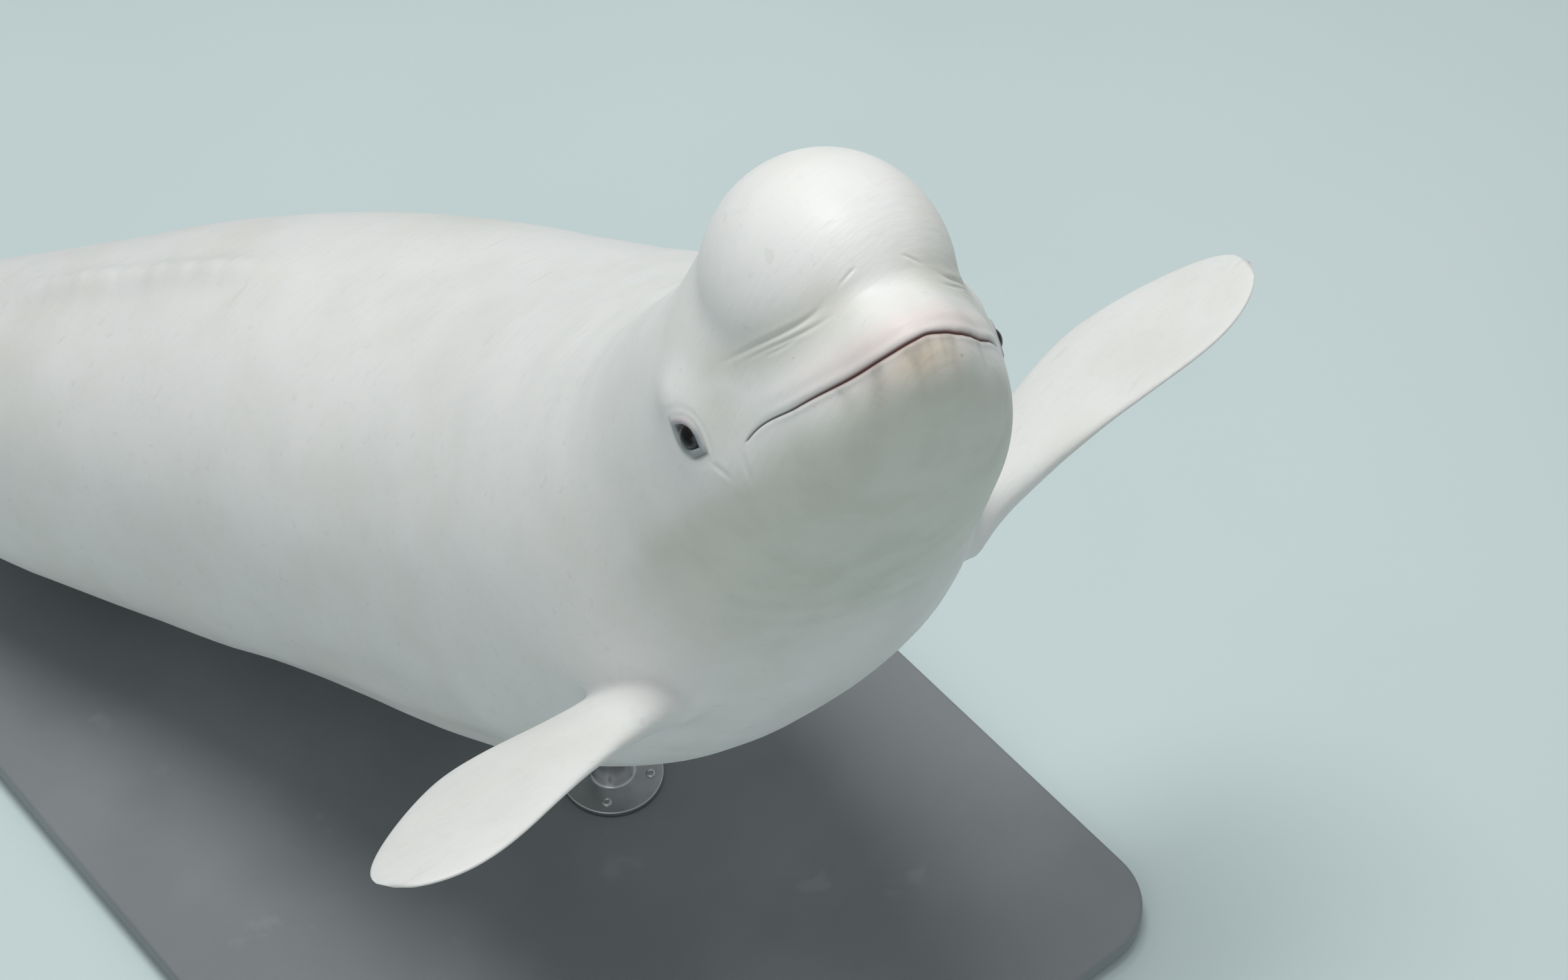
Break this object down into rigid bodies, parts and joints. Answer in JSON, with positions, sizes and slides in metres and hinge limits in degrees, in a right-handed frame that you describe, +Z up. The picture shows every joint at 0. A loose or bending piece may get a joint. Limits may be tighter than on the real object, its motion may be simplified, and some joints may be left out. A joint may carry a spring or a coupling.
{
  "type": "beluga whale model",
  "caption": "Life-size still model of a white beluga whale with raised round head, spread flippers and curved tail, held above a flat base on short upright rods.",
  "frame": {"origin": "centre of the flat underside of the stand's base", "axes": "+Z up; -Y the way the whale heads, so its left side is at +X and its tail at +Y"},
  "size_m": [2.1877, 3.1408, 1.8362],
  "materials": {
    "skin": "smooth, slightly glossy white whale skin",
    "eye": "glossy dark eye",
    "stand_paint": "satin grey paint",
    "stand_steel": "brushed"
  },
  "bodies": {
    "root": {"head": "skin", "lower_jaw": "skin", "neck": "skin", "torso_front": "skin", "torso_rear": "skin", "tail_stock": "skin", "fluke_left": "skin", "fluke_right": "skin", "flipper_left": "skin", "flipper_right": "skin", "eye_left": "eye", "eye_right": "eye", "stand_base": "stand_paint", "stand_rod_front": "stand_steel", "stand_rod_rear": "stand_steel"}
  },
  "joints": []
}
